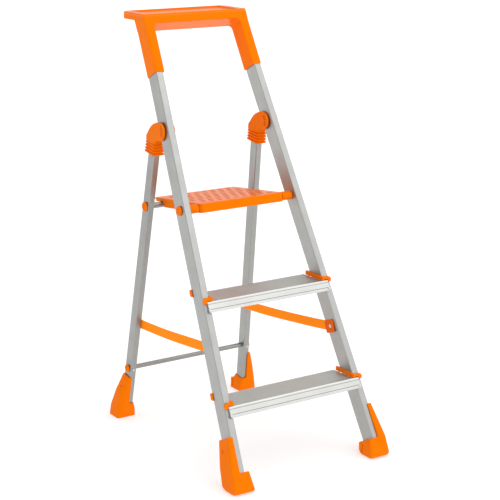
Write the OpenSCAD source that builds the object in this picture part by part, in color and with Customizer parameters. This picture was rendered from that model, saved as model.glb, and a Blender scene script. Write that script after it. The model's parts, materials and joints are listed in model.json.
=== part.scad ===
// Folding platform step-ladder with two tread steps, hinged rear frame and lift-up platform.
// Millimetres, +Z up, +X right as climbed, +Y from the climbing side to the back.
// Origin: centre of the footprint, on the floor.

/* [Front frame] */
// Lean of the stiles from vertical, deg
front_lean = 27; // [22:0.5:32]
// Splay of each stile within the frame plane, deg
stile_splay = 3.2; // [0:0.1:6]
// Centre of a stile from the mid plane at the floor
stile_foot_x = 215.5; // [180:0.5:260]
// Stile section across the ladder
stile_w = 20; // [15:0.5:30]
// Stile section front to back
stile_d = 48; // [35:0.5:60]
// Distance up the stile to its top end
stile_top = 1250; // [900:1:1500]
// Wall of the aluminium sections
wall = 1.6; // [1:0.1:3]

/* [Rear frame] */
// Lean of the rear legs from vertical, deg
rear_lean = 9.65; // [4:0.05:15]
// Splay of each rear leg, deg
leg_splay = 2.4; // [0:0.1:6]
// Centre of a rear leg from the mid plane at the floor
leg_foot_x = 196.5; // [160:0.5:250]
// Floor distance from front foot centre to rear foot centre
foot_spread = 632; // [450:1:800]
// Rear leg section across the ladder
leg_w = 18; // [14:0.5:25]
// Rear leg section front to back
leg_d = 31; // [22:0.5:40]
// Height of the lower rear cross tube
low_tube_z = 147; // [80:1:250]
// Height of the upper rear cross tube
high_tube_z = 628; // [500:1:750]
// Radius of the lower rear cross tube
low_tube_r = 6.5; // [4:0.5:10]
// Radius of the upper rear cross tube
high_tube_r = 8; // [5:0.5:12]

/* [Hinge] */
// Height of the frame hinge axis
hinge_z = 844; // [700:1:950]
// Hinge axis behind the stile centre line, level distance
hinge_back = 14; // [5:1:20]
// Hinge pin radius
pin_r = 5; // [3:0.5:8]
// Working angle between open and folded frames, deg
fold_angle = 29; // [15:1:35]

/* [Steps] */
// Top of the lower tread above the floor
step_1_z = 201; // [150:1:260]
// Top of the upper tread above the floor
step_2_z = 443; // [380:1:520]
// Tread from nosing to rear edge
tread_depth = 87; // [60:1:120]
// Height of the slanted front panel
panel_h = 28; // [18:1:40]
// Thickness of the hollow front panel
panel_t = 6.5; // [3:0.5:10]

/* [Platform] */
// Height of the platform pivot rod
rod_z = 654; // [560:1:720]
// Pivot rod radius
rod_r = 5; // [3:0.5:8]
// Downward tilt of the open platform to the rear, deg
platform_tilt = 6.5; // [0:0.5:10]
// Half width of the platform at its front edge
platform_hw = 131; // [100:1:150]
// Platform edge behind the pivot rod
platform_rear = 237; // [180:1:280]

/* [Handle] */
// Top of the tool tray above the floor
tray_z = 1140; // [900:1:1400]
// Tray from front edge to rear edge
tray_depth = 119; // [60:1:160]
// Length of the handle sleeves on the stiles, measured down from the beam
sleeve_len = 132.5; // [60:1:180]

/* [Straps] */
// Strap width
strap_w = 26; // [15:1:40]
// Strap sag at mid length
strap_sag = 4; // [0:0.5:20]
// Strap height at the rear leg
strap_rear_z = 281; // [200:1:400]
// Strap height at the stile
strap_front_z = 322; // [200:1:450]

/* [Hidden] */
$fn = 48;
fit = 0.05;
foot_y = -322.55;
sl = sin(front_lean);
cl = cos(front_lean);
tl = tan(front_lean);
rod_y = foot_y + rod_z * tl;
hinge_y = foot_y + hinge_z * tl + hinge_back;
leg_y0 = foot_y + foot_spread;
leg_slope = tan(rear_lean);
high_tube_y = leg_y0 - high_tube_z * leg_slope;
low_tube_y = leg_y0 - low_tube_z * leg_slope;
beam_s = 1239.5;
grip_tilt = -3.7;
sleeve_wall = 2.5;
sleeve_flare = 2.5;
shoe_top_s = 137;
base_top_s = 46;
saddle_y = (high_tube_y - rod_y) * cos(platform_tilt) - (high_tube_z - rod_z) * sin(platform_tilt);
saddle_z = (high_tube_y - rod_y) * sin(platform_tilt) + (high_tube_z - rod_z) * cos(platform_tilt);

// Centre of the right stile and of the right rear leg from the mid plane at height z.
function stile_x(z) = stile_foot_x - tan(stile_splay) * z / cl;
function leg_x(z) = leg_foot_x - tan(leg_splay) * z / cos(rear_lean);
// Level position of the stile centre line and the leg centre line at height z.
function stile_y(z) = foot_y + z * tl;
function leg_y(z) = leg_y0 - z * leg_slope;

// Both or one of the two sides: side 1 is right, side -1 is left.
module side_of(side) {
  mirror([side < 0 ? 1 : 0, 0, 0]) children();
}

// Frame of the leaning stile plane: z runs up the plane, y runs square to it to the back.
module stile_plane() {
  translate([0, foot_y, 0]) rotate([-front_lean, 0, 0]) children();
}

// Frame of the right stile: z runs up its centre line.
module on_stile() {
  stile_plane() translate([stile_foot_x, 0, 0]) rotate([0, -stile_splay, 0]) children();
}

// Frame of the right rear leg: z runs up its centre line.
module on_leg() {
  translate([0, leg_y0, 0]) rotate([rear_lean, 0, 0])
    translate([leg_foot_x, 0, 0]) rotate([0, -leg_splay, 0]) children();
}

// Upright bar centred on x and y, with round long edges.
module bar(w, d, z0, z1, r) {
  translate([0, 0, z0]) linear_extrude(z1 - z0) union() {
    square([w - 2 * r, d], center = true);
    square([w, d - 2 * r], center = true);
    for (x = [-1, 1], y = [-1, 1])
      translate([x * (w / 2 - r), y * (d / 2 - r)]) circle(r);
  }
}

module pin_x(r, x0, x1) {
  translate([x0, 0, 0]) rotate([0, 90, 0]) cylinder(r = r, h = x1 - x0);
}

// ---- stiles ----
module stile() {
  difference() {
    on_stile() bar(stile_w, stile_d, base_top_s - 30, stile_top, 2.5);
    on_stile() bar(stile_w - 2 * wall, stile_d - 2 * wall, base_top_s - 31, stile_top + 1, 1.2);
    translate([0, rod_y, rod_z]) pin_x(rod_r + fit, 100, 300);
    translate([0, hinge_y, hinge_z]) pin_x(pin_r + fit, 100, 300);
    rivet_holes();
  }
}
module left_stile() { color("silver") side_of(-1) stile(); }
module right_stile() { color("silver") side_of(1) stile(); }

// ---- handle with tool tray ----
grip_hw = stile_foot_x - tan(stile_splay) * beam_s - stile_w / 2 - sleeve_wall;
beam_hw = grip_hw + stile_w + 2 * sleeve_wall + sleeve_flare;
tray_front_y = (tray_z + (stile_d / 2 + sleeve_wall) * -sl) / cl * sl - (stile_d / 2 + sleeve_wall) * cl;

// Side outline of the beam and tray, in y from the stile foot and z from the floor.
function plane_yz(t, s) = [t * cl + s * sl, s * cl - t * sl];
half_sleeve = stile_d / 2 + sleeve_wall;
beam_bottom_front = plane_yz(-half_sleeve, beam_s);
beam_bottom_rear = plane_yz(half_sleeve, beam_s + 2 * half_sleeve * tan(grip_tilt));
beam_top_front = plane_yz(-half_sleeve, (tray_z - half_sleeve * sl) / cl);
rim_h = 20;
rim_meets = plane_yz(half_sleeve, (tray_z - rim_h + half_sleeve * sl) / cl);
tray_back = beam_top_front[0] + tray_depth;

module tray_outline() {
  polygon([beam_bottom_front, beam_bottom_rear, rim_meets, [tray_back - 4, tray_z - rim_h],
    [tray_back, tray_z - rim_h + 4], [tray_back, tray_z - 2], [tray_back - 2, tray_z],
    beam_top_front + [2, 0], beam_top_front + [-0.6, -2.2]]);
}

module across(hw) {
  translate([-hw, foot_y, 0]) rotate([90, 0, 90]) linear_extrude(2 * hw) children();
}

// Frame at each inner corner of the grip opening: y runs back along the underside of the beam.
module grip_corner() {
  stile_plane() for (s = [-1, 1]) side_of(s)
    translate([grip_hw - 10, -half_sleeve, beam_s])
      rotate([grip_tilt, 0, 0]) translate([0, 0, -10]) children();
}

// Sleeve over the right stile, its outer face flared out to the end of the beam.
module sleeve() {
  on_stile() translate([-sleeve_flare / 2, 0, beam_s - sleeve_len])
    rotate([0, atan(sleeve_flare / sleeve_len), 0])
      bar(stile_w + 2 * sleeve_wall + sleeve_flare, 2 * half_sleeve, 0, sleeve_len + 22, 4);
}

module top_handle_tray() {
  recess_y0 = foot_y + beam_top_front[0] + 7;
  recess_y1 = foot_y + tray_back - 5;
  color("darkorange") difference() {
    union() {
      across(beam_hw) tray_outline();
      for (s = [-1, 1]) side_of(s) sleeve();
      grip_corner() translate([0, 0.2, 0]) cube([12, 2 * half_sleeve - 1, 12]);
    }
    // Round the two inner corners of the grip opening.
    grip_corner() translate([0, -2, 0]) rotate([-90, 0, 0]) cylinder(r = 10, h = 2 * half_sleeve + 4);
    // Pockets for the stile tops.
    for (s = [-1, 1]) side_of(s) on_stile()
      bar(stile_w + 2 * fit, stile_d + 2 * fit, beam_s - sleeve_len - 1, stile_top + 0.5, 2.5);
    // Shallow tool tray on top.
    translate([-beam_hw + 20, recess_y0, tray_z - 5]) cube([2 * beam_hw - 40, recess_y1 - recess_y0, 6]);
    // Hollow under the overhanging back of the tray.
    translate([-beam_hw + 4, foot_y + rim_meets[0] + 6, tray_z - rim_h - 1])
      cube([2 * beam_hw - 8, tray_back - 4 - rim_meets[0] - 6, rim_h - 8]);
    // Hollow in the back of the beam between the stiles, with two ribs left in.
    for (x = [-1, 0, 1]) stile_plane() translate([x * 84 - 40, -half_sleeve + 4, beam_s + 6])
      cube([80, 2 * half_sleeve, 10]);
    // Bevel the rear corners of the tray.
    for (s = [-1, 1]) side_of(s) translate([beam_hw, foot_y + tray_back, tray_z - 30])
      rotate([0, 0, 45]) cube([17, 17, 70], center = true);
  }
}

// ---- steps ----
// Side outline of a step, y from the stile centre line at tread height, z from the tread top.
groove_pitch = 4;
groove_w = 2.4;
nose = -(stile_d / 2 + 0.3 + panel_t) / cl;
panel_y = panel_t / cl;
down = [-sl, -cl];
module step_outline() {
  back = nose + tread_depth;
  grooves = [for (i = [0 : 19]) each [[0, 0], [0, -1.2], [groove_w, -1.2], [groove_w, 0]]
    + [for (k = [1 : 4]) [nose + 5 + groove_pitch * i, 0]]];
  polygon(concat([[nose, -1.5], [nose + 1.5, 0]], grooves,
    // Rear flange, then the stiffening web under the tread.
    [[back, 0], [back, -16], [back - 6, -16], [back - 6, -14.2], [back - 2, -14.2], [back - 2, -3],
    [nose + 45.8, -3], [nose + 45.8, -12], [nose + 44, -12], [nose + 44, -3],
    // Front panel.
    [nose + panel_y - 3 * tl, -3], [nose + panel_y, 0] + panel_h * down, [nose, 0] + panel_h * down]));
}
module panel_hollow() {
  y0 = nose + 1.7;
  y1 = nose + panel_y - 1.8;
  polygon([[y0, -1.9] + 3 * down, [y1, -1.9] + 3 * down, [y1, 0] + (panel_h - 2) * down,
    [y0, 0] + (panel_h - 2) * down]);
}

module stile_space(gap) {
  for (s = [-1, 1]) side_of(s) on_stile()
    bar(stile_w + 2 * gap, stile_d + 2 * gap, base_top_s, stile_top, 2.5);
}

// Keep only what lies between the stiles, or in front of them as far as the panel ends.
module step(z) {
  inner = stile_x(z) - stile_w / 2;
  panel_hw = inner + 12;
  color("gainsboro") difference() {
    translate([0, foot_y + z * tl, z]) rotate([90, 0, 90]) difference() {
      translate([0, 0, -panel_hw]) linear_extrude(2 * panel_hw) step_outline();
      // Hollow of the front panel, closed at the ends.
      translate([0, 0, 1.5 - panel_hw]) linear_extrude(2 * panel_hw - 3) panel_hollow();
    }
    stile_space(0.15);
    // Trim the tread behind the front panel to the space between the end clips.
    for (s = [-1, 1]) side_of(s) on_stile()
      translate([-stile_w / 2 - 5.2, -stile_d / 2 - 0.05, z / cl - 60]) cube([60, 140, 120]);
    rivet_holes();
  }
}
module step_1_tread() { step(step_1_z); }
module step_2_tread() { step(step_2_z); }

// Rivet line through the front panel and the stile's front wall, in the right stile's frame.
module rivet_line(z, r, y0, y1) {
  on_stile() translate([-2, -stile_d / 2 + y0, z / cl - 37]) rotate([-90, 0, 0]) cylinder(r = r, h = y1 - y0);
}
module rivet_holes() {
  for (s = [-1, 1], z = [step_1_z, step_2_z]) side_of(s) rivet_line(z, 2 + fit, -panel_t - 1, 3);
}
module step_rivets() {
  color("lightgray") for (s = [-1, 1], z = [step_1_z, step_2_z]) side_of(s) {
    rivet_line(z, 2, -panel_t - 0.4, 2.4);
    rivet_line(z, 3.8, -panel_t - 1.6, -panel_t - 0.35);
    rivet_line(z, 2.8, -panel_t - 2.1, -panel_t - 1.6);
  }
}

// ---- tread end clips, on the right side ----
clip_h = 11;
clip_t = 5;
module clip_blank(z) {
  front = -stile_d / 2;
  drop = front * sl / cl;
  // Strip along the tread end.
  translate([stile_x(z) - stile_w / 2 - clip_t, stile_y(z) - 33, z + 0.1])
    cube([clip_t + 2, 33 + 46, clip_h]);
  at_tread(z) {
    // Arm across the front of the stile, and the round lobe at its outer corner.
    translate([-stile_w / 2 - clip_t, front - 7, drop + 1]) cube([stile_w, 7, clip_h - 2]);
    translate([5, front - 7.5, drop]) rotate([-90, 0, 0]) cylinder(r = 7.5, h = 7.5);
    // Arm across the back of the stile, and its hook.
    translate([-stile_w / 2 - clip_t, -front - 2, 14]) cube([stile_w + 3, 7, clip_h]);
    translate([stile_w / 2 - 5, -front - 4, 12]) cube([8, 11, 20]);
  }
}
// Frame of the right stile, with its origin on the centre line at tread height.
module at_tread(z) {
  on_stile() translate([0, 0, z / cl]) children();
}
module clip(z) {
  color("darkorange") difference() {
    clip_blank(z);
    on_stile() bar(stile_w + 0.2, stile_d + 0.2, base_top_s, stile_top, 2.5);
    // Clear the front panel.
    at_tread(z) translate([-stile_w, -stile_d / 2 - panel_t - 2, -60])
      cube([stile_w + 2.4, panel_t + 2, 60 - 12]);
    // Bevel the hook.
    at_tread(z) translate([stile_w / 2, stile_d / 2 + 8, 10]) rotate([32, 0, 0])
      cube([40, 20, 12], center = true);
  }
}
module step_1_left_clip() { side_of(-1) clip(step_1_z); }
module step_1_right_clip() { side_of(1) clip(step_1_z); }
module step_2_left_clip() { side_of(-1) clip(step_2_z); }
module step_2_right_clip() { side_of(1) clip(step_2_z); }

// ---- shoes ----
module post(x, y, z, r, h) {
  translate([x, y, z]) cylinder(r = r, h = h, $fn = 32);
}
// Four upright posts at the corners of a rectangle, the outline of one level of a shoe.
module level(x0, x1, y0, y1, z, r, h) {
  for (x = [x0 + r, x1 - r], y = [y0 + r, y1 - r]) post(x, y, z, r, h);
}
// Front shoe on the right side, with the stile centre at the floor as its zero in x and y.
module front_shoe_blank() {
  translate([stile_foot_x, foot_y, 0]) {
    // Wedge up the outer face of the stile.
    hull() {
      level(2, 28, -12, 30, 0, 6, 2);
      level(2, 31, -23, 42, 8, 9, 2);
      level(2, 27, -8, 57, 50, 6, 2);
      rotate([-front_lean, 0, 0]) rotate([0, -stile_splay, 0])
        translate([0, 0, shoe_top_s - 4]) level(4, 17.5, -27.5, 26, 0, 3, 4);
    }
    // Base under the end of the stile.
    hull() {
      level(-29, 26, -13, 28, 0, 6, 2);
      level(-32, 26, -25, 36, 6, 8, 2);
      rotate([-front_lean, 0, 0]) translate([0, 0, base_top_s - 4]) level(-26, 14, -27.5, 28, 0, 5, 4);
    }
    post(-19, 36, 7, 9, 27);
  }
}
module front_shoe() {
  color("darkorange") difference() {
    front_shoe_blank();
    on_stile() bar(stile_w + 2 * fit, stile_d + 2 * fit, base_top_s - 30.2, 400, 2.5);
    // Leave the inner face and most of the front and back faces of the stile bare above the base.
    on_stile() translate([-60, -60, base_top_s]) cube([64, 120, 200]);
    // Split in the back of the base beside the knob.
    translate([stile_foot_x - 34, foot_y + 22, 5]) cube([14, 2.5, 24]);
    // Short slot near the top of the outer face.
    on_stile() translate([8, 7, 100]) rotate([0, 90, 0]) union() {
      pin_z(2, 30);
      translate([-9, 0, 0]) pin_z(2, 30);
      translate([-9, -2, 0]) cube([9, 4, 30]);
    }
    translate([0, 0, -20]) cube([900, 900, 40], center = true);
  }
}
module pin_z(r, h) { cylinder(r = r, h = h); }
module front_left_shoe() { side_of(-1) front_shoe(); }
module front_right_shoe() { side_of(1) front_shoe(); }

// Rear shoe on the right side.
module rear_shoe_blank() {
  translate([leg_foot_x, leg_y0, 0]) {
    hull() {
      level(2, 38, -22, 31, 0, 6, 2);
      level(2, 36, -21, 26, 30, 6, 2);
      level(2, 26, -26, 10, 78, 5, 2);
      rotate([rear_lean, 0, 0]) rotate([0, -leg_splay, 0])
        translate([0, 0, 122]) level(3, 13.5, -19, 18, 0, 3, 4);
    }
    hull() {
      level(-20, 30, -22, 31, 0, 6, 2);
      level(-20, 24, -22, 28, 18, 6, 2);
      rotate([rear_lean, 0, 0]) translate([0, 0, 40]) level(-13, 12, -19, 19, 0, 4, 4);
    }
    post(-12, 25, 4, 7, 26);
  }
}
module rear_shoe() {
  color("darkorange") difference() {
    rear_shoe_blank();
    on_leg() bar(leg_w + 2 * fit, leg_d + 2 * fit, 13.8, 400, 2);
    on_leg() translate([-60, -60, 44]) cube([63, 120, 200]);
    translate([leg_foot_x - 24, leg_y0 + 15, 5]) cube([12, 2.5, 26]);
    on_leg() translate([6, 4, 92]) rotate([0, 90, 0]) pin_z(3, 30);
    translate([0, 0, -20]) cube([900, 900, 40], center = true);
  }
}
module rear_left_shoe() { side_of(-1) rear_shoe(); }
module rear_right_shoe() { side_of(1) rear_shoe(); }

// ---- platform pivot rod with spacers and plugs ----
rod_half = stile_x(rod_z) + stile_w / 2 + 2;
module platform_rod() {
  color("silver") translate([0, rod_y, rod_z]) pin_x(rod_r, -rod_half, rod_half);
}
// Domed plug on the outer face, with two spanner holes one above the other.
module plug(x, y, z, r, bore) {
  translate([x, y, z]) difference() {
    union() {
      pin_x(r, 0.4, 3.4);
      pin_x(r - 1.5, 3.4, 5);
    }
    pin_x(bore + fit, -1, 3);
    for (k = [-1, 1]) translate([0, 0, k * r * 0.28]) pin_x(1.7, 3.4, 6);
  }
}
module stile_plugs() {
  color("darkorange") for (s = [-1, 1]) side_of(s)
    plug(stile_x(rod_z) + stile_w / 2 + 0.6, rod_y, rod_z, 13, rod_r);
}
module rod_spacer() {
  color("darkorange") translate([0, rod_y, rod_z]) difference() {
    union() {
      pin_x(12, platform_hw + 2, stile_x(rod_z) - stile_w / 2 - 1);
      pin_x(10.5, platform_hw + 0.8, platform_hw + 3);
    }
    pin_x(rod_r + fit, 100, 200);
  }
}
module left_rod_spacer() { side_of(-1) rod_spacer(); }
module right_rod_spacer() { side_of(1) rod_spacer(); }

// ---- frame hinge ----
hinge_x = stile_x(hinge_z);
cheek_gap = 12;
cheek_t = 6;
module hinge_pin() {
  color("silver") translate([0, hinge_y, hinge_z]) pin_x(pin_r, hinge_x - cheek_gap - 4, hinge_x + cheek_gap + 4);
}
module left_hinge_pin() { side_of(-1) hinge_pin(); }
module right_hinge_pin() { side_of(1) hinge_pin(); }

// Space that the stile sweeps between the knuckle's cheeks from the open to the folded position.
module stile_sweep() {
  reach = 300;
  swing = fold_angle + 1 - front_lean;
  mid = (swing - front_lean) / 2;
  corner = (stile_d / 2 - hinge_back * cl + 0.6) / cos((swing + front_lean) / 2);
  meet = [corner * cos(mid), corner * sin(mid)];
  translate([hinge_x - cheek_gap, 0, 0]) rotate([90, 0, 90]) linear_extrude(2 * cheek_gap)
    polygon([meet, meet + reach * [sl, cl], [-reach, reach], [-reach, -reach],
      meet + reach * [sin(swing), -cos(swing)]]);
}
// Arc in the side view, from angle a0 to a1 about a centre given from the hinge axis.
function arc(y, z, r, a0, a1) =
  [for (i = [0 : 12]) [y + r * cos(a0 + (a1 - a0) * i / 12), z + r * sin(a0 + (a1 - a0) * i / 12)]];
// Rounded rear corner of the shell over the leg top.
shell_y = 57;
shell_z = -24;
shell_r = 15;
// Knuckle on the right side, drawn about the hinge axis.
module knuckle() {
  drop = 66;
  color("darkorange") difference() {
    translate([0, hinge_y, hinge_z]) union() {
      // Cheeks round the pivot and the shell running back over the leg top.
      pin_x(25, hinge_x - cheek_gap - cheek_t, hinge_x + cheek_gap + cheek_t);
      translate([hinge_x - 16, 0, 0]) rotate([90, 0, 90]) linear_extrude(32) polygon(concat(
        arc(0, 0, 22, 200, 62), arc(shell_y, shell_z, shell_r, 62, -15),
        [[shell_y + shell_r, -36], [shell_y - 30, -36]], arc(0, 0, 22, 300, 240)));
      // Ribbed socket on the leg.
      knuckle_ring(-drop, drop - 10, 22, 14.5);
      for (i = [0 : 5]) knuckle_ring(-drop + i * 8.2, 4, 26 - 0.4 * i, 18);
    }
    translate([0, hinge_y, hinge_z]) {
      stile_sweep();
      pin_x(pin_r + fit, hinge_x - cheek_gap - 4.3, hinge_x + cheek_gap + 4.3);
    }
    on_leg() bar(leg_w + 2 * fit, leg_d + 2 * fit, 500, leg_top, 2);
  }
}
leg_top = (hinge_z - 26) / cos(rear_lean);
// One level of the knuckle, square to the leg, at a height above the hinge axis.
module knuckle_ring(z, h, half_d, half_w) {
  lz = hinge_z + z;
  translate([leg_x(lz), leg_y(lz) - hinge_y, z]) rotate([rear_lean, 0, 0])
    bar(2 * half_w, 2 * half_d, 0, h, 7);
}
module left_hinge_knuckle() { side_of(-1) knuckle(); }
module right_hinge_knuckle() { side_of(1) knuckle(); }

// ---- rear legs and cross tubes ----
module rear_leg() {
  color("silver") difference() {
    on_leg() bar(leg_w, leg_d, 14, leg_top - 0.5, 2);
    on_leg() bar(leg_w - 2 * wall, leg_d - 2 * wall, 13, leg_top, 1);
    translate([0, high_tube_y, high_tube_z]) pin_x(high_tube_r + fit, 100, 300);
    translate([0, low_tube_y, low_tube_z]) pin_x(low_tube_r + fit, 100, 300);
    leg_rivet_line(2 + fit, -1, 5);
  }
}
module left_rear_leg() { side_of(-1) rear_leg(); }
module right_rear_leg() { side_of(1) rear_leg(); }

module cross_tube(y, z, r, half) {
  color("silver") translate([0, y, z]) difference() {
    pin_x(r, -half, half);
    pin_x(r - 1.2, -half - 1, half + 1);
  }
}
module upper_rear_tube() {
  cross_tube(high_tube_y, high_tube_z, high_tube_r, leg_x(high_tube_z) + leg_w / 2 + 1);
}
module lower_rear_tube() {
  cross_tube(low_tube_y, low_tube_z, low_tube_r, leg_x(low_tube_z) + leg_w / 2 + 1);
}
module upper_tube_plugs() {
  color("darkorange") for (s = [-1, 1]) side_of(s)
    plug(leg_x(high_tube_z) + leg_w / 2 + 0.4, high_tube_y, high_tube_z, 13, high_tube_r);
}
module lower_tube_plugs() {
  color("darkorange") for (s = [-1, 1]) side_of(s)
    plug(leg_x(low_tube_z) + leg_w / 2 + 0.4, low_tube_y, low_tube_z, 11, low_tube_r);
}
// Rivet line through the front wall of the right rear leg beside the lower tube.
module leg_rivet_line(r, y0, y1) {
  on_leg() translate([0, -leg_d / 2 + y0, low_tube_z / cos(rear_lean)])
    rotate([-90, 0, 0]) cylinder(r = r, h = y1 - y0);
}
module lower_tube_rivets() {
  color("lightgray") for (s = [-1, 1]) side_of(s) {
    leg_rivet_line(2, -0.5, 4);
    leg_rivet_line(4, -1.5, -0.1);
    leg_rivet_line(3, -2.1, -1.5);
  }
}

// ---- straps ----
strap_rear_x = leg_x(strap_rear_z) - leg_w / 2 - 2.4;
strap_front_x = stile_x(strap_front_z) - stile_w / 2 - 1.8;
strap_front_y = stile_y(strap_front_z) + 2;
strap_rear_y = leg_y(strap_rear_z) + 2;
strap_run = strap_rear_y - strap_front_y;
function strap_z(u) = strap_front_z + (strap_rear_z - strap_front_z) * u - 4 * strap_sag * u * (1 - u);
module strap() {
  n = 24;
  color("orange") translate([strap_front_x, strap_front_y, 0])
    rotate([0, 0, atan((strap_front_x - strap_rear_x) / strap_run)])
      translate([-1, 0, 0]) rotate([90, 0, 90]) linear_extrude(2) difference() {
        polygon(concat(
          [for (i = [0 : n]) [-10 + (strap_run + 20) * i / n, strap_z(i / n) + strap_w / 2]],
          [for (i = [n : -1 : 0]) [-10 + (strap_run + 20) * i / n, strap_z(i / n) - strap_w / 2]]));
        translate([0, strap_z(0)]) circle(2.4);
        translate([strap_run, strap_z(1)]) circle(2.4);
      }
}
module left_strap() { side_of(-1) strap(); }
module right_strap() { side_of(1) strap(); }
module strap_rivet(x, y, z) {
  translate([x, y, z]) {
    pin_x(2, -2, 1.4);
    pin_x(5, -3, -1.4);
    pin_x(3.5, -3.8, -3);
  }
}
module strap_front_rivets() {
  color("lightgray") for (s = [-1, 1]) side_of(s) strap_rivet(strap_front_x, strap_front_y, strap_front_z);
}
module strap_rear_rivets() {
  color("lightgray") for (s = [-1, 1]) side_of(s) strap_rivet(strap_rear_x, strap_rear_y, strap_rear_z);
}

// ---- platform, drawn about the pivot rod with y along its top ----
module platform_plan(inset, y0, y1) {
  front = platform_hw - inset;
  rear = platform_hw - 3 - inset;
  polygon([[-front + 6, y0], [front - 6, y0], [front, y0 + 6], [rear, y1 - 8], [rear - 8, y1],
    [-rear + 8, y1], [-rear, y1 - 8], [-front, y0 + 6]]);
}
module platform() {
  top = 13;
  bottom = -12;
  hook_y = saddle_y + 11;
  color("darkorange") translate([0, rod_y, rod_z]) rotate([-platform_tilt, 0, 0]) difference() {
    union() {
      translate([0, 0, top - 5]) linear_extrude(4) platform_plan(0, -17, platform_rear);
      // Skirt round the front and the sides.
      translate([0, 0, bottom]) linear_extrude(top - bottom - 2) difference() {
        platform_plan(0.4, -16.6, hook_y);
        platform_plan(3.4, -13.6, hook_y + 20);
      }
      // Lip round the back.
      translate([0, 0, top - 11]) linear_extrude(7) difference() {
        platform_plan(8, 20, platform_rear - 4);
        platform_plan(11, 10, platform_rear - 7);
      }
      // Ribs below the top.
      for (x = [-84, -42, 0, 42, 84]) translate([x - 1.25, -15, -4]) cube([2.5, hook_y - 4, 14]);
      for (y = [45, 90, 135]) translate([-platform_hw + 5, y, -2]) cube([2 * platform_hw - 10, 2.5, 12]);
      translate([-platform_hw + 5, saddle_y - 16, -9]) cube([2 * platform_hw - 10, 3, 18]);
      // Bosses round the rod and the saddles on the upper rear tube.
      for (s = [-1, 1]) side_of(s) {
        pin_x(10, platform_hw - 24, platform_hw - 1);
        translate([platform_hw - 26, -8, 0]) cube([24, 16, 10]);
        translate([platform_hw - 22, saddle_y - 14, -9]) cube([19, 26, 18]);
      }
      // Tread blocks in staggered rows.
      for (i = [0 : 11]) for (j = [0 : 5])
        translate([-platform_hw + 9 + j * 42 + (i % 2) * 6 - 3, -10 + i * 20, top - 1.5])
          cube([34, 15, 1.5]);
    }
    pin_x(rod_r + fit, -200, 200);
    // Tube saddle, open downwards, with its front wall laid back to let the tube leave.
    translate([0, saddle_y, saddle_z]) {
      pin_x(high_tube_r + 0.3, -200, 200);
      translate([-200, 0, 0]) rotate([90, 0, 90]) linear_extrude(400)
        polygon([[-high_tube_r - 0.3, 0], [-high_tube_r - 0.3, 2], [0, 6], [high_tube_r + 0.3, 2], [60, 2],
          [60, -40], [-high_tube_r - 24, -40]]);
    }
  }
}

left_stile();
right_stile();
top_handle_tray();
step_1_tread();
step_2_tread();
step_1_left_clip();
step_1_right_clip();
step_2_left_clip();
step_2_right_clip();
step_rivets();
front_left_shoe();
front_right_shoe();
platform_rod();
stile_plugs();
left_rod_spacer();
right_rod_spacer();
left_hinge_pin();
right_hinge_pin();
strap_front_rivets();
left_strap();
right_strap();
left_rear_leg();
right_rear_leg();
left_hinge_knuckle();
right_hinge_knuckle();
upper_rear_tube();
lower_rear_tube();
upper_tube_plugs();
lower_tube_plugs();
lower_tube_rivets();
strap_rear_rivets();
rear_left_shoe();
rear_right_shoe();
platform();
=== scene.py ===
"""Looks of a folding platform step-ladder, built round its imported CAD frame.

Metres, +Z up, +Y to the back.
"""

import json
import math

import bmesh
import bpy
from mathutils import Matrix, Vector


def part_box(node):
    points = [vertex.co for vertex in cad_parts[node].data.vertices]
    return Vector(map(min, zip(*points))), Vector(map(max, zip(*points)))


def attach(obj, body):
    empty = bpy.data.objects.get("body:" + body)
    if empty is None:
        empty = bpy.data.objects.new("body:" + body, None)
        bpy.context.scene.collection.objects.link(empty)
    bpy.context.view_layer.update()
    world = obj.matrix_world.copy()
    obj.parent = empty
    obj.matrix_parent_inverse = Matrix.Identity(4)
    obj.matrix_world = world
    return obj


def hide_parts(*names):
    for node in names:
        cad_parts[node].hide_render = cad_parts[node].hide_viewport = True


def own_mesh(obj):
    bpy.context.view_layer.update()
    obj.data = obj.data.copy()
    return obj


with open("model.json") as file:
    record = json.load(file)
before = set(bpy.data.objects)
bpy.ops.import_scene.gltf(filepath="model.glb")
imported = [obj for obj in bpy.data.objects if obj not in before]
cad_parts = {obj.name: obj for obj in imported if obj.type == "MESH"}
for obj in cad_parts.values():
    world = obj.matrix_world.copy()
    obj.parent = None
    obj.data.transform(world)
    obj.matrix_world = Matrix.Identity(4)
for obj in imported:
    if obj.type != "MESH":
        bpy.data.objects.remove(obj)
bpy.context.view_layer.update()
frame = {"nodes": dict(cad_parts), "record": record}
nodes = frame["nodes"]
scene = bpy.context.scene

# Angles of the frame, as in the CAD: the stiles lean back, the rear legs lean forward.
FRONT_LEAN = math.radians(27)
STILE_SPLAY = math.radians(3.2)
REAR_LEAN = math.radians(9.65)
LEG_SPLAY = math.radians(2.4)

PLATFORM_TILT = math.radians(6.5)
PLATFORM_HW = 0.131
PLATFORM_REAR = 0.237
TRAY_FLOOR_Z = 1.135
TREAD_TOPS = {"step_1_tread": 0.201, "step_2_tread": 0.443}
# The stiles' centre plane meets the floor at FOOT_Y.
FOOT_Y = -0.32255
ROD_Z = 0.654
HINGE_Z = 0.844
# The hinge pins lie this far behind the stiles' centre plane.
HINGE_BEHIND = 0.014
# From the stiles' centre plane to the front face of a tread's panel, square to the stiles.
PANEL_FRONT = 0.0308
SIDES = ((-1, "left"), (1, "right"))
# Sockets of a Mix node that mixes colours.
MIX_FACTOR, MIX_A, MIX_B, MIX_RESULT = 0, 6, 7, 2


def stile_plane(z):
    """Y of the stiles' centre plane at height z."""
    return FOOT_Y + z * math.tan(FRONT_LEAN)


ROD = Vector((0, stile_plane(ROD_Z), ROD_Z))
HINGE = Vector((0, stile_plane(HINGE_Z) + HINGE_BEHIND, HINGE_Z))

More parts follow.
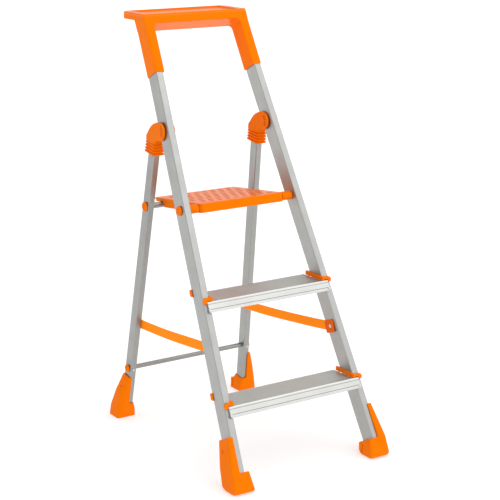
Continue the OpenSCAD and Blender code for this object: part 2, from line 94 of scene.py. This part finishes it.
ORANGE = (0.98, 0.195, 0.0015)
ALUMINIUM = (0.43, 0.434, 0.42)
BODY_OF = {n: body for body, members in frame["record"]["behaviour"]["bodies"].items() for n in members}


# ---- materials ----
class Nodes:
    """A material's node tree with short calls for the nodes used here."""

    def __init__(self, name):
        self.material = bpy.data.materials.new(name)
        self.material.use_nodes = True
        self.tree = self.material.node_tree
        self.shader = self.tree.nodes["Principled BSDF"]

    def add(self, kind, **values):
        node = self.tree.nodes.new(kind)
        for key, value in values.items():
            if hasattr(node, key):
                setattr(node, key, value)
            else:
                node.inputs[key.replace("_", " ")].default_value = value
        return node

    def link(self, source, target):
        self.tree.links.new(source, target)

    def set(self, **values):
        for key, value in values.items():
            self.shader.inputs[key.replace("_", " ")].default_value = value

    def along(self, turn, stretch):
        """Object coordinates turned so that Z runs along a section, then stretched."""
        place = self.add("ShaderNodeTexCoord")
        turned = self.add("ShaderNodeMapping")
        turned.inputs["Rotation"].default_value = turn
        stretched = self.add("ShaderNodeMapping")
        stretched.inputs["Scale"].default_value = stretch
        self.link(place.outputs["Object"], turned.inputs["Vector"])
        self.link(turned.outputs["Vector"], stretched.inputs["Vector"])
        return stretched.outputs["Vector"]

    def noise(self, vector, scale, detail=3.0, roughness=0.55):
        node = self.add("ShaderNodeTexNoise", Scale=scale, Detail=detail, Roughness=roughness)
        self.link(vector, node.inputs["Vector"])
        return node.outputs["Fac"]

    def ramp(self, value, low, high, out_low, out_high):
        node = self.add("ShaderNodeMapRange")
        for key, number in (("From Min", low), ("From Max", high), ("To Min", out_low), ("To Max", out_high)):
            node.inputs[key].default_value = number
        self.link(value, node.inputs["Value"])
        return node.outputs["Result"]

    def colours(self, value, dark, light):
        node = self.add("ShaderNodeMix", data_type="RGBA")
        node.inputs[MIX_A].default_value = (*dark, 1)
        node.inputs[MIX_B].default_value = (*light, 1)
        self.link(value, node.inputs[MIX_FACTOR])
        return node.outputs[MIX_RESULT]

    def facing(self, axis):
        """How far the surface faces along an axis, either way, 0 to 1, in the piece's own frame."""
        place = self.add("ShaderNodeTexCoord")
        parts = self.add("ShaderNodeSeparateXYZ")
        self.link(place.outputs["Normal"], parts.inputs["Vector"])
        return self.maths("ABSOLUTE", parts.outputs[axis])

    def distance_along(self, point, direction):
        """Distance of the shaded point from a fixed point along a direction, in the piece's own frame."""
        place = self.add("ShaderNodeTexCoord")
        offset = self.add("ShaderNodeVectorMath", operation="SUBTRACT")
        offset.inputs[1].default_value = point
        along = self.add("ShaderNodeVectorMath", operation="DOT_PRODUCT")
        along.inputs[1].default_value = direction
        self.link(place.outputs["Object"], offset.inputs[0])
        self.link(offset.outputs["Vector"], along.inputs[0])
        return along.outputs["Value"]

    def maths(self, operation, *inputs):
        """A maths node fed with outputs or plain numbers."""
        node = self.add("ShaderNodeMath", operation=operation)
        for socket, value in zip(node.inputs, inputs):
            if isinstance(value, (int, float)):
                socket.default_value = value
            else:
                self.link(value, socket)
        return node.outputs[0]

    def near(self, value, centre, half_width, soft):
        """1 where value is within half_width of centre, falling to 0 over the soft width."""
        away = self.maths("ABSOLUTE", self.maths("SUBTRACT", value, centre))
        return self.ramp(away, half_width, half_width + soft, 1, 0)

    def bump(self, heights, strength, distance):
        """Bump from one or several height outputs, each feeding the next."""
        normal = None
        for height, share in heights:
            node = self.add("ShaderNodeBump", Strength=strength * share, Distance=distance)
            self.link(height, node.inputs["Height"])
            if normal is not None:
                self.link(normal, node.inputs["Normal"])
            normal = node.outputs["Normal"]
        self.link(normal, self.shader.inputs["Normal"])


def tint(colour, factor):
    return tuple(min(c * factor, 1.0) for c in colour)


def drawn_metal(name, colour, roughness, turn=(0, 0, 0), lines=(900, 900, 5)):
    """Drawn and anodised aluminium: fine lines along the section over a cloudy satin."""
    m = Nodes(name)
    streaks = m.noise(m.along(turn, lines), 1.0, 4.0, 0.6)
    clouds = m.noise(m.along(turn, (1, 1, 1)), 26.0, 3.0)
    grain = m.noise(m.along(turn, (1, 1, 1)), 2600.0, 2.0)
    m.link(m.colours(m.ramp(streaks, 0.3, 0.7, 0, 1), tint(colour, 0.93), tint(colour, 1.05)),
           m.shader.inputs["Base Color"])
    m.link(m.ramp(clouds, 0.3, 0.7, roughness - 0.05, roughness + 0.06), m.shader.inputs["Roughness"])
    m.bump([(streaks, 1.0), (grain, 0.5)], 0.10, 0.0004)
    m.set(Metallic=1.0)
    return m


def over(m, mask, colour):
    """Lays a plain colour over a material's own colour where the mask is 1."""
    socket = m.shader.inputs["Base Color"]
    below = socket.links[0].from_socket
    node = m.add("ShaderNodeMix", data_type="RGBA")
    node.inputs[MIX_B].default_value = (*colour, 1)
    m.link(below, node.inputs[MIX_A])
    m.link(mask, node.inputs[MIX_FACTOR])
    m.link(node.outputs[MIX_RESULT], socket)


def change_gloss(m, operation, value):
    """Combines the gloss that a material has with a mask or factor."""
    gloss = m.shader.inputs["Specular IOR Level"]
    m.link(m.maths(operation, gloss.links[0].from_socket, value), gloss)


def tread_metal(node):
    """Extruded tread: ribbed top painted brighter than the sides as painted light, and two fine lines along
    the front panel, painted dark as the shade in its grooves.
    """
    m = drawn_metal(node, tint(ALUMINIUM, 1.36), 0.42, lines=(6, 900, 900))
    top = m.distance_along((0, 0, TREAD_TOPS[node]), (0, 0, 1))
    # Painted light: the top of the ribs is a brighter aluminium than the sides.
    over(m, m.ramp(top, -0.0022, -0.0017, 0, 1), tint(ALUMINIUM, 1.6))
    upper_line, lower_line = 0.0055, 0.0195
    nose = (0, stile_plane(TREAD_TOPS[node]) - PANEL_FRONT / math.cos(FRONT_LEAN), TREAD_TOPS[node])
    down = m.distance_along(nose, (0, -math.sin(FRONT_LEAN), -math.cos(FRONT_LEAN)))
    ahead = m.distance_along(nose, (0, math.cos(FRONT_LEAN), -math.sin(FRONT_LEAN)))
    # Painted shade: two dark lines where the front panel's grooves run.
    lines = m.maths("MAXIMUM", m.near(down, upper_line, 0.0004, 0.0003),
                    m.near(down, lower_line, 0.0005, 0.0003))
    on_face = m.near(ahead, 0.0, 0.002, 0.0005)
    over(m, m.maths("MULTIPLY", lines, on_face), tint(ALUMINIUM, 0.35))
    return m.material


def moulded_plastic(name, colour, roughness, grain_size=0.0006, grain=0.12, flat_gloss=0.4, side_gloss=0.05):
    """Moulded plastic: fine leathery grain, slightly uneven colour, glossier on level faces."""
    m = Nodes(name)
    even = m.along((0, 0, 0), (1, 1, 1))
    clouds = m.noise(even, 18.0, 3.0)
    flow = m.noise(m.along((0.3, 0.1, 0.2), (30, 30, 9)), 1.0, 2.0)
    skin = m.add("ShaderNodeTexVoronoi", feature="SMOOTH_F1", Scale=1.0 / grain_size)
    m.link(even, skin.inputs["Vector"])
    m.link(m.colours(m.ramp(clouds, 0.25, 0.75, 0, 1), tint(colour, 0.95), tint(colour, 1.03)),
           m.shader.inputs["Base Color"])
    m.link(m.ramp(flow, 0.3, 0.7, roughness - 0.04, roughness + 0.05), m.shader.inputs["Roughness"])
    m.bump([(skin.outputs["Distance"], 1.0), (flow, 0.6)], grain, 0.0003)
    m.link(m.ramp(m.facing("Z"), 0.55, 0.9, side_gloss, flat_gloss), m.shader.inputs["Specular IOR Level"])
    m.set(IOR=1.45, Specular_Tint=(1.0, 0.3, 0.04, 1.0))
    return m


def polished_floor(m, z):
    """Makes the level floor at height z glossier than the rest."""
    floor_mask = m.near(m.distance_along((0, 0, 0), (0, 0, 1)), z, 0.0012, 0.0006)
    change_gloss(m, "MAXIMUM", floor_mask)
    return m.material


def platform_top(m):
    """Darkens the sunk pads of the platform's top, between its floor and its face, as painted shade, and
    takes most of the gloss off them.
    """
    height = m.distance_along(ROD, (0, math.sin(PLATFORM_TILT), math.cos(PLATFORM_TILT)))
    back = m.distance_along(ROD, (0, math.cos(PLATFORM_TILT), -math.sin(PLATFORM_TILT)))
    across = m.distance_along((0, 0, 0), (1, 0, 0))
    sunk = m.near(height, 0.0118, 0.0006, 0.0004)
    inside = m.maths("MULTIPLY", m.near(across, 0.0, PLATFORM_HW - 0.010, 0.001),
                    m.near(back, PLATFORM_REAR / 2 - 0.009, PLATFORM_REAR / 2 - 0.001, 0.001))
    pad_shade = m.maths("MULTIPLY", sunk, inside)
    # Painted shade: the sunk pads are made darker and nearly without gloss.
    over(m, pad_shade, (0.30, 0.022, 0.001))
    change_gloss(m, "MULTIPLY", m.ramp(pad_shade, 0, 1, 1, 0.12))
    return m.material


def cheek_groove_shade(m):
    """Short dark radial marks round the front of a hinge cheek, painted as the shade of its radial grooves.
    """
    step = math.radians(19)
    middle_radius, half_length = 0.0150, 0.0050
    middle_angle, half_arc = 0.12, 0.95
    y = m.distance_along(HINGE, (0, 1, 0))
    z = m.distance_along(HINGE, (0, 0, 1))
    radius = m.maths("SQRT", m.maths("ADD", m.maths("MULTIPLY", y, y), m.maths("MULTIPLY", z, z)))
    angle = m.maths("ARCTAN2", z, m.maths("MULTIPLY", y, -1.0))
    # The added 10.5 steps keep the count above 0 all round and centre one mark on angle 0.
    steps = m.maths("ADD", m.maths("DIVIDE", angle, step), 10.5)
    phase = m.maths("SUBTRACT", m.maths("FRACT", steps), 0.5)
    groove_shade = m.maths("MULTIPLY", m.near(phase, 0.0, 0.15, 0.05),
                    m.near(radius, middle_radius, half_length, 0.0006))
    groove_shade = m.maths("MULTIPLY", groove_shade, m.near(angle, middle_angle, half_arc, 0.05))
    flat_side = m.ramp(m.facing("X"), 0.7, 0.9, 0, 1)
    # Painted shade: dark radial marks on the cheek's flat side.
    over(m, m.maths("MULTIPLY", groove_shade, flat_side), (0.28, 0.03, 0.001))
    return m.material


def webbing(name, colour, painted_glow):
    """Woven strap: ribs across the strap and twill along it, dull, with a painted glow that lights the cloth
    a little in its own colour.
    """
    m = Nodes(name)
    even = m.along((0, 0, 0), (1, 1, 1))
    ribs = m.add("ShaderNodeTexWave", bands_direction="Y", Scale=110.0, Distortion=0.4, Detail=1.0)
    twill = m.add("ShaderNodeTexWave", bands_direction="DIAGONAL", Scale=150.0, Distortion=0.6, Detail=1.0)
    rows = m.add("ShaderNodeTexWave", bands_direction="Z", Scale=95.0, Distortion=0.3, Detail=1.0)
    for wave in (ribs, twill, rows):
        m.link(even, wave.inputs["Vector"])
    fuzz = m.noise(even, 1800.0, 2.0)
    weave = m.maths("MULTIPLY", ribs.outputs["Fac"], rows.outputs["Fac"])
    m.link(m.colours(m.ramp(weave, 0.0, 0.7, 0, 1), tint(colour, 0.86), tint(colour, 1.06)),
           m.shader.inputs["Base Color"])
    m.bump([(weave, 1.0), (twill.outputs["Fac"], 0.5), (fuzz, 0.5)], 0.45, 0.0006)
    # The emission is a painted glow, not a lamp.
    m.set(Roughness=0.75, Specular_IOR_Level=0.12, Emission_Color=(*colour, 1), Emission_Strength=painted_glow)
    return m.material


def section_metal(name, colour, lean, splay):
    """Metal of the left and the right section, by side, with its fine lines along the leaning section."""
    return {side: drawn_metal(f"{name}_{side}", colour, 0.42, (lean, side * splay, 0)).material
            for side, _ in SIDES}


stile_metal = section_metal("stile", ALUMINIUM, FRONT_LEAN, STILE_SPLAY)
# Painted shade: the rear legs and the tubes are darker tints of the stiles' aluminium.
shaded_leg_metal = section_metal("leg", tint(ALUMINIUM, 0.88), -REAR_LEAN, LEG_SPLAY)
shaded_tube_metal = drawn_metal("tube", tint(ALUMINIUM, 0.72), 0.36, lines=(5, 900, 900)).material
rivet_metal = drawn_metal("rivet", tint(ALUMINIUM, 1.4), 0.30, lines=(700, 700, 700)).material
pin_metal = drawn_metal("pin", (0.52, 0.52, 0.53), 0.24, lines=(40, 900, 900)).material
handle_plastic = polished_floor(moulded_plastic("handle_orange", ORANGE, 0.26, 0.0005, 0.05, 0.32),
                                TRAY_FLOOR_Z)
platform_plastic = platform_top(moulded_plastic("platform_orange", ORANGE, 0.30, 0.0006, 0.08, 0.42))
shoe_plastic = moulded_plastic("shoe_orange", tint(ORANGE, 0.97), 0.42, 0.0007, 0.16, 0.2).material
fitting_plastic = moulded_plastic("fitting_orange", tint(ORANGE, 0.97), 0.40, 0.0006, 0.14, 0.2).material
knuckle_plastic = cheek_groove_shade(moulded_plastic("knuckle_orange", tint(ORANGE, 0.95), 0.40, 0.0006, 0.14, 0.2))
hole_shade = moulded_plastic("hole_shade", (0.30, 0.035, 0.001), 0.6, 0.0004, 0.2, 0.1).material
# The webbing has a painted glow of 0.22; the end tab has none.
strap_cloth = webbing("strap_webbing", (1.0, 0.25, 0.001), 0.22)
strap_end = webbing("strap_end", (0.95, 0.14, 0.001), 0.0)


# ---- pieces ----
def mesh_of(bm, name):
    """Turns an edited shape into a named mesh and frees the shape."""
    mesh = bpy.data.meshes.new(name)
    bm.to_mesh(mesh)
    bm.free()
    return mesh


def placed(name, data):
    """A new object in the scene, with this mesh, light or camera."""
    obj = bpy.data.objects.new(name, data)
    scene.collection.objects.link(obj)
    return obj


def solid_through(bm, rings):
    """Adds a closed solid that runs through rings of points, with flat ends."""
    for one, two in zip(rings, rings[1:]):
        for k in range(len(one)):
            following = (k + 1) % len(one)
            bm.faces.new((one[k], one[following], two[following], two[k]))
    bm.faces.new(list(reversed(rings[0])))
    bm.faces.new(rings[-1])
    bmesh.ops.recalc_face_normals(bm, faces=bm.faces)


def finish_piece(obj, node, material):
    """Puts a piece on the body of the CAD node that it stands for."""
    obj.data.materials.clear()
    obj.data.materials.append(material)
    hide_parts(node)
    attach(obj, BODY_OF[node])
    return obj


def boxes_mesh(boxes):
    """One mesh of closed boxes, each given as (centre, turn matrix, full sizes)."""
    bm = bmesh.new()
    for centre, turn, sizes in boxes:
        made = bmesh.ops.create_cube(bm, size=1.0)
        place = Matrix.Translation(centre) @ turn @ Matrix.Diagonal((*sizes, 1))
        bmesh.ops.transform(bm, matrix=place, verts=made["verts"])
    return mesh_of(bm, "boxes")


def moulded(node, material, voxel, passes, extra=None, reshape=None):
    """A moulded piece in the CAD solid's shape, with the round edges that a mould leaves.
    The solid and any extra closed shapes are merged on a fine grid, and the grid is then relaxed."""
    bm = bmesh.new()
    bm.from_mesh(nodes[node].data)
    if reshape is not None:
        for vertex in bm.verts:
            vertex.co = reshape(vertex.co)
    if extra is not None:
        bm.from_mesh(extra)
    obj = placed(node + "_moulded", mesh_of(bm, node + "_moulded"))
    grid = obj.modifiers.new("grid", "REMESH")
    grid.mode = "VOXEL"
    grid.voxel_size = voxel
    relax = obj.modifiers.new("relax", "SMOOTH")
    relax.factor = 0.5
    relax.iterations = passes
    final = bpy.data.meshes.new_from_object(obj.evaluated_get(bpy.context.evaluated_depsgraph_get()))
    obj.modifiers.clear()
    obj.data = final
    for polygon in final.polygons:
        polygon.use_smooth = True
    return finish_piece(obj, node, material)


def dressed(node, material, bevel=0.0):
    """A CAD node kept as it is, with its own material and fine bevels on its sharp edges."""
    obj = nodes[node]
    obj.data.materials.clear()
    obj.data.materials.append(material)
    if bevel:
        weld = obj.modifiers.new("weld", "WELD")
        weld.merge_threshold = 1e-6
        flat = obj.modifiers.new("flat", "DECIMATE")
        flat.decimate_type = "DISSOLVE"
        flat.angle_limit = math.radians(0.5)
        edge = obj.modifiers.new("edge", "BEVEL")
        edge.width = bevel
        edge.segments = 2
        edge.limit_method = "ANGLE"
        edge.angle_limit = math.radians(35)
        edge.harden_normals = True


def crown(word):
    """Full round back of a hinge knuckle, as two cheeks flush with the discs and a shell between them.
    The shell stays behind the stile's sweep. Outlines are (Y, Z) from the hinge and X is from the pin's
    middle, all in millimetres."""
    back = [(24.5, 19.3), (34, 15), (44, 8.5), (53, 0), (60, -9), (65, -20), (66, -34), (30, -34)]
    cheek = [(0, -20), (0, 24.6), (13, 23)] + back
    shell = [(13.4, -2)] + back
    low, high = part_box(f"{word}_hinge_pin")
    middle = (low[0] + high[0]) / 2
    bm = bmesh.new()
    for x0, x1, outline in ((-17.8, -12.2, cheek), (12.2, 17.8, cheek), (-12.6, 12.6, shell)):
        solid_through(bm, [[bm.verts.new(HINGE + Vector((middle + x / 1000, y / 1000, z / 1000)))
                            for y, z in outline] for x in (x0, x1)])
    return mesh_of(bm, "crown")


for side, word in SIDES:
    dressed(f"{word}_stile", stile_metal[side])
    dressed(f"{word}_rear_leg", shaded_leg_metal[side])
    dressed(f"{word}_hinge_pin", pin_metal)
for node in ("upper_rear_tube", "lower_rear_tube"):
    dressed(node, shaded_tube_metal)
dressed("platform_rod", pin_metal)
for node in TREAD_TOPS:
    dressed(node, tread_metal(node), 0.0003)
for node in ("step_rivets", "strap_front_rivets", "strap_rear_rivets", "lower_tube_rivets"):
    moulded(node, rivet_metal, 0.00025, 3)


def tray_walls():
    """Thicker walls round the hollow under the tray's overhang, closed behind the two bevelled corners."""
    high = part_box("top_handle_tray")[1]
    back, top = high[1], high[2]
    # The tray's own half width: the sleeves below it stand out further.
    edge = max(v.co.x for v in nodes["top_handle_tray"].data.vertices if v.co.z > top - 0.004)
    wall, tall, skin, bevel, overhang = 0.0070, 0.0140, 0.0003, 0.0120, 0.074
    middle = top - 0.0128
    # From the square corner to the middle of the slanted wall, along X and along Y.
    inset = bevel / 2 + wall / 2 / math.sqrt(2)
    boxes = [((0, back - wall / 2 - skin, middle), Matrix.Identity(4), (2 * edge - 0.026, wall, tall))]
    for sign in (-1, 1):
        boxes.append(((sign * (edge - wall / 2 - skin), back - bevel - overhang / 2 + 0.004, middle),
                      Matrix.Identity(4), (wall, overhang - bevel, tall)))
        boxes.append(((sign * (edge - inset), back - inset, middle),
                      Matrix.Rotation(-sign * math.radians(45), 4, "Z"), (0.017, wall, tall)))
    return boxes_mesh(boxes)


moulded("top_handle_tray", handle_plastic, 0.0012, 11, tray_walls())
for side, word in SIDES:
    moulded(f"front_{word}_shoe", shoe_plastic, 0.0011, 24)
    moulded(f"rear_{word}_shoe", shoe_plastic, 0.0011, 18)
    moulded(f"{word}_hinge_knuckle", knuckle_plastic, 0.0006, 7, crown(word))
    moulded(f"{word}_rod_spacer", fitting_plastic, 0.0006, 4)
    for step in (1, 2):
        moulded(f"step_{step}_{word}_clip", fitting_plastic, 0.0006, 6)


def plugs(node, radius):
    """Domed plugs with two spanner holes, whose sunk faces are shaded dark."""
    obj = moulded(node, fitting_plastic, 0.0004, 4)
    obj.data.materials.append(hole_shade)
    hole_share, hole_radius, dome_depth = 0.28, 0.0018, 0.003
    low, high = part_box(node)
    middle = (Vector(low) + Vector(high)) / 2
    for face in obj.data.polygons:
        for sign in (-1, 1):
            aside = Vector((0, face.center.y - middle.y,
                            face.center.z - middle.z - sign * hole_share * radius))
            if aside.length < hole_radius and abs(face.center.x) > high[0] - dome_depth:
                face.material_index = 1


plugs("stile_plugs", 0.013)
plugs("upper_tube_plugs", 0.013)
plugs("lower_tube_plugs", 0.011)


# ---- platform ----
def platform():
    """The platform with its top of sunk pads in staggered rows, and a deeper lip round the back."""
    turn = Matrix.Rotation(-PLATFORM_TILT, 4, "X")
    tilt = turn.to_3x3()
    face, pad_floor, thick = 0.013, 0.0119, 0.003

    def on_platform(x, y, z):
        return ROD + tilt @ Vector((x, y, z))

    def flatten(point):
        local = tilt.transposed() @ (point - ROD)
        local.z = min(local.z, pad_floor)
        return ROD + tilt @ local

    boxes = []

    def block(x0, x1, y0, y1, z0, z1):
        centre = on_platform((x0 + x1) / 2, (y0 + y1) / 2, (z0 + z1) / 2)
        boxes.append((centre, turn, (x1 - x0, y1 - y0, z1 - z0)))

    half = PLATFORM_HW - 0.005
    pitch_x, pitch_y, pad_x, pad_y = 0.026, 0.027, 0.016, 0.0085
    rows, first_row, rim, overlap = 8, -0.010, 0.006, 0.001
    for row in range(rows + 1):
        y = first_row + row * pitch_y
        block(-half, half, y, y + pitch_y - pad_y, face - thick, face)
        if row == rows:
            break
        shift = (row % 2) * pitch_x / 2
        edge = -half
        for column in range(-5, 6):
            pad = column * pitch_x + shift - pad_x / 2
            if pad < -half + rim or pad + pad_x > half - rim:
                continue
            block(edge, pad, y, y + pitch_y + overlap, face - thick, face)
            edge = pad + pad_x
        block(edge, half, y, y + pitch_y + overlap, face - thick, face)
    # The lip down both sides and along the back, with a slanted wall at each bevelled corner.
    side, back, wall, bevel = PLATFORM_HW - 0.0046, PLATFORM_REAR - 0.001, 0.003, 0.008
    lip_front, lip_low, lip_high, corner_in = 0.207, 0.002, 0.011, 0.0055
    for sign in (-1, 1):
        x0, x1 = sorted((sign * (side - wall), sign * side))
        block(x0, x1, lip_front, back - bevel, lip_low, lip_high)
        corner = on_platform(sign * (side - corner_in), back - corner_in, (lip_low + lip_high) / 2)
        slant = turn @ Matrix.Rotation(sign * math.radians(45), 4, "Z")
        boxes.append((corner, slant, (wall, 0.0135, lip_high - lip_low)))
    block(-side + bevel, side - bevel, back - wall, back, lip_low, lip_high)
    moulded("platform", platform_plastic, 0.0009, 2, boxes_mesh(boxes), flatten)


platform()


# ---- straps ----
STRAP_W = 0.026
STRAP_T = 0.0019


def anchor(node, side):
    """Centre of the rivets of one side, in the middle of the strap's thickness."""
    inner_end_to_strap = 0.0038
    points = [v.co for v in nodes[node].data.vertices if v.co.x * side > 0]
    low = Vector(min(p[k] for p in points) for k in range(3))
    high = Vector(max(p[k] for p in points) for k in range(3))
    centre = (low + high) / 2
    centre.x = (low.x + inner_end_to_strap) if side > 0 else (high.x - inner_end_to_strap)
    return centre


def tab(side, word, front):
    """Stiff rounded tab that holds the strap's end on the stile."""
    across, tall, thick, radius, behind = 0.036, 0.035, 0.0026, 0.005, 0.005
    turn = Matrix.Rotation(-FRONT_LEAN * 0.75, 3, "X")
    outline = []
    for corner_y, corner_z, first in ((1, 1, 0), (-1, 1, 90), (-1, -1, 180), (1, -1, 270)):
        for k in range(7):
            angle = math.radians(first + 15 * k)
            outline.append((behind + corner_y * (across / 2 - radius) + radius * math.cos(angle),
                            corner_z * (tall / 2 - radius) + radius * math.sin(angle)))
    bm = bmesh.new()
    rings = []
    for depth, size in ((-0.0003, 1.0), (thick * 0.75, 1.0), (thick, 0.94)):
        rings.append([bm.verts.new(front + turn @ Vector((-side * depth, y * size, z * size)))
                      for y, z in outline])
    solid_through(bm, rings)
    obj = placed(f"{word}_strap_tab", mesh_of(bm, f"{word}_strap_tab"))
    obj.data.materials.append(strap_end)
    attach(obj, "front_frame")


def strap(side, word):
    """Flat webbing from the stile to the rear leg, with a turned-back rear end and a stiff tab in front."""
    front, rear = (anchor(f"strap_{place}_rivets", side) for place in ("front", "rear"))
    run = rear - front
    inward = Vector((0, 0, 1)).cross(Vector((run.x, run.y, 0)).normalized()) * side
    outline = [(0.5, 0.22), (0.5, -0.22), (0.47, -0.5), (-0.47, -0.5), (-0.5, -0.22), (-0.5, 0.22),
               (-0.47, 0.5), (0.47, 0.5)]
    ripple, sag_depth, twist_most = 0.0007, 0.004, 0.05
    bm = bmesh.new()

    def ribbon(u0, u1, count, offset, thick, width):
        """A closed strip of webbing with round edges, between two shares of the run."""
        rings = []
        for i in range(count + 1):
            u = u0 + (u1 - u0) * i / count
            span = min(max(u, 0), 1)
            wave = ripple * math.sin(math.pi * span) * math.sin(9 * span + side)
            sag = 4 * sag_depth * span * (1 - span)
            centre = front + run * u + inward * (offset + wave) - Vector((0, 0, sag))
            twist = twist_most * math.sin(math.pi * span) * math.sin(5 * span)
            up = Vector((0, 0, 1)) + inward * twist
            rings.append([bm.verts.new(centre + up * (a * width) + inward * (b * thick)) for a, b in outline])
        solid_through(bm, rings)

    past_rivet, hem_start, hem_end = (size / run.length for size in (0.009, 0.024, 0.008))
    ribbon(-past_rivet, 1 + past_rivet, 60, 0.0, STRAP_T, STRAP_W)
    ribbon(1 - hem_start, 1 + hem_end, 8, STRAP_T * 0.9, STRAP_T * 0.8, STRAP_W * 0.98)
    obj = placed(f"{word}_strap_webbing", mesh_of(bm, f"{word}_strap_webbing"))
    obj.data.materials.append(strap_cloth)
    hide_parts(f"{word}_strap")
    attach(obj, "front_frame")
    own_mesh(obj)
    tab(side, word, front)


for side, word in SIDES:
    strap(side, word)


# ---- floor, light and camera ----
def floor():
    """Wide floor with some light of its own."""
    bm = bmesh.new()
    bmesh.ops.create_grid(bm, x_segments=1, y_segments=1, size=60)
    obj = placed("floor", mesh_of(bm, "floor"))
    m = Nodes("floor")
    m.set(Base_Color=(0.68, 0.68, 0.68, 1), Roughness=0.9, Specular_IOR_Level=0.1)
    m.set(Emission_Color=(1, 1, 1, 1), Emission_Strength=0.40)
    obj.data.materials.append(m.material)


def studio():
    """White studio: brighter from the front right and above, dimmer from the left and the back."""
    world = bpy.data.worlds.new("studio")
    scene.world = world
    world.use_nodes = True
    tree = world.node_tree
    ground = tree.nodes["Background"]
    place = tree.nodes.new("ShaderNodeTexCoord")
    dot = tree.nodes.new("ShaderNodeVectorMath")
    dot.operation = "DOT_PRODUCT"
    dot.inputs[1].default_value = Vector((0.42, -0.22, 0.85)).normalized()
    spread = tree.nodes.new("ShaderNodeMapRange")
    for socket, number in (("From Min", -1), ("From Max", 1), ("To Min", 0.3), ("To Max", 1.2)):
        spread.inputs[socket].default_value = number
    tree.links.new(place.outputs["Generated"], dot.inputs[0])
    tree.links.new(dot.outputs["Value"], spread.inputs["Value"])
    tree.links.new(spread.outputs["Result"], ground.inputs["Strength"])
    ground.inputs["Color"].default_value = (1, 1, 1, 1)
    sun = bpy.data.lights.new("key", "SUN")
    sun.energy = 0.45
    sun.angle = math.radians(50)
    placed("key", sun).rotation_euler = Vector((0.3, -0.8, 0.9)).to_track_quat("Z", "Y").to_euler()


def camera():
    """The photo's view, looking down at the elevation, from the azimuth round +Z."""
    azimuth, elevation = math.radians(-33.301), math.radians(14.67)
    data = bpy.data.cameras.new("camera")
    data.sensor_width = 36
    data.lens = 104.34
    data.clip_end = 200
    obj = placed("camera", data)
    obj.location = (-2.0396, -3.14422, 1.5062)
    back = Vector((math.sin(azimuth) * math.cos(elevation), -math.cos(azimuth) * math.cos(elevation),
                   math.sin(elevation)))
    obj.rotation_mode = "QUATERNION"
    obj.rotation_quaternion = (-back).to_track_quat("-Z", "Y")
    scene.camera = obj


floor()
studio()
camera()
scene.view_settings.view_transform = "Standard"
